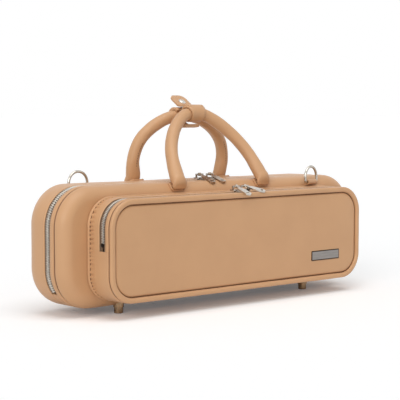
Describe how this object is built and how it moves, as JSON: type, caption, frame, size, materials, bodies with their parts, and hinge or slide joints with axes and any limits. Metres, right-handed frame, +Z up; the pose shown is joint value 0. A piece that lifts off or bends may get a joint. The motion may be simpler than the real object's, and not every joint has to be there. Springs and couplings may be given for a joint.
{
  "type": "flute case",
  "caption": "Soft leather flute case with zipped halves, zipped front pocket, two joined carrying handles, strap rings and metal feet.",
  "frame": {"origin": "on the floor under the middle of the case", "axes": "+X along the case to the right seen from the pocket's side, +Y to the rear, +Z up"},
  "size_m": [0.4222, 0.1243, 0.2204],
  "materials": {
    "leather": "smooth",
    "lining": "plush",
    "padding": "soft foam",
    "tape": "woven",
    "teeth": "satin",
    "hardware": "polished",
    "brass": "satin",
    "plate": "brushed"
  },
  "bodies": {
    "rear_half": {"rear_shell": "leather", "rear_padding": "padding", "rear_lining": "lining", "fitted_tray": "lining", "rear_zip_tape": "tape", "rear_zip_teeth": "teeth", "rear_hinge_leaf": "leather", "rear_handle_patches": "leather", "rear_ring_tab": "leather", "rear_feet": "brass"},
    "rear_handle": {"rear_handle": "leather", "keeper_strap": "leather", "snap_stud": "hardware"},
    "rear_ring": {"rear_ring": "hardware"},
    "lid": {"lid_shell": "leather", "lid_gusset": "leather", "lid_seam_cord": "leather", "lid_padding": "padding", "lid_lining": "lining", "lid_zip_tape": "tape", "lid_zip_teeth": "teeth", "lid_hinge_leaf": "leather", "lid_handle_patches": "leather", "lid_ring_tab": "leather", "lid_feet": "brass", "pocket_welt": "leather", "pocket_rear_wall": "leather", "pocket_lower_wall": "leather", "pocket_back_lining": "lining", "pocket_rear_tape": "tape", "pocket_rear_teeth": "teeth", "pocket_panel_lower": "leather", "pocket_piping_lower": "leather", "nameplate": "plate"},
    "pocket_flap": {"pocket_panel_upper": "leather", "pocket_piping_upper": "leather", "pocket_strip": "leather", "pocket_front_tape": "tape", "pocket_front_teeth": "teeth"},
    "front_handle": {"front_handle": "leather", "keeper_sleeve": "leather"},
    "keeper_flap": {"keeper_flap": "leather", "snap_cap": "hardware"},
    "front_ring": {"front_ring": "hardware"},
    "main_slider_left": {"main_slider_left": "hardware"},
    "main_pull_left": {"main_pull_left": "hardware"},
    "main_slider_right": {"main_slider_right": "hardware"},
    "main_pull_right": {"main_pull_right": "hardware"},
    "pocket_slider_left": {"pocket_slider_left": "hardware"},
    "pocket_pull_left": {"pocket_pull_left": "hardware"},
    "pocket_slider_right": {"pocket_slider_right": "hardware"},
    "pocket_pull_right": {"pocket_pull_right": "hardware"}
  },
  "joints": [
    {"name": "lid_hinge", "type": "hinge", "parent": "rear_half", "child": "lid", "pos_m": [0, 0.00852, 0.008], "axis": [1, 0, 0], "range_deg": [0, 120]},
    {"name": "pocket_fold", "type": "hinge", "parent": "lid", "child": "pocket_flap", "pos_m": [0, -0.05548, 0.068], "axis": [1, 0, 0], "range_deg": [0, 35]},
    {"name": "front_handle_swing", "type": "hinge", "parent": "lid", "child": "front_handle", "pos_m": [0, -0.01499, 0.13373], "axis": [1, 0, 0], "range_deg": [0, 115]},
    {"name": "rear_handle_swing", "type": "hinge", "parent": "rear_half", "child": "rear_handle", "pos_m": [0, 0.0553, 0.13263], "axis": [1, 0, 0], "range_deg": [-110, 0]},
    {"name": "keeper_fold", "type": "hinge", "parent": "front_handle", "child": "keeper_flap", "pos_m": [0, 0.04232, 0.21114], "axis": [1, 0, 0], "range_deg": [-14, 0]},
    {"name": "front_ring_swing", "type": "hinge", "parent": "lid", "child": "front_ring", "pos_m": [0.136, -0.01968, 0.1235], "axis": [0.9781, 0.2079, 0], "range_deg": [-25, 80]},
    {"name": "rear_ring_swing", "type": "hinge", "parent": "rear_half", "child": "rear_ring", "pos_m": [-0.136, 0.05672, 0.1235], "axis": [1, 0, 0], "range_deg": [-110, 25]},
    {"name": "main_slider_left_run", "type": "slide", "parent": "lid", "child": "main_slider_left", "axis": [1, 0, 0], "range_m": [-0.036, 0]},
    {"name": "main_pull_left_flip", "type": "hinge", "parent": "main_slider_left", "child": "main_pull_left", "pos_m": [-0.009, 0.00852, 0.13595], "axis": [1, 0, 0], "range_deg": [-150, 0]},
    {"name": "main_slider_right_run", "type": "slide", "parent": "lid", "child": "main_slider_right", "axis": [1, 0, 0], "range_m": [0, 0.036]},
    {"name": "main_pull_right_flip", "type": "hinge", "parent": "main_slider_right", "child": "main_pull_right", "pos_m": [0.006, 0.00852, 0.13595], "axis": [1, 0, 0], "range_deg": [-150, 0]},
    {"name": "pocket_slider_left_run", "type": "slide", "parent": "pocket_flap", "child": "pocket_slider_left", "axis": [1, 0, 0], "range_m": [-0.132, 0]},
    {"name": "pocket_pull_left_flip", "type": "hinge", "parent": "pocket_slider_left", "child": "pocket_pull_left", "pos_m": [-0.00125, -0.04048, 0.12475], "axis": [1, 0, 0], "range_deg": [-150, 0]},
    {"name": "pocket_slider_right_run", "type": "slide", "parent": "pocket_flap", "child": "pocket_slider_right", "axis": [1, 0, 0], "range_m": [0, 0.132]},
    {"name": "pocket_pull_right_flip", "type": "hinge", "parent": "pocket_slider_right", "child": "pocket_pull_right", "pos_m": [0.01125, -0.04048, 0.12475], "axis": [1, 0, 0], "range_deg": [-150, 0]}
  ]
}
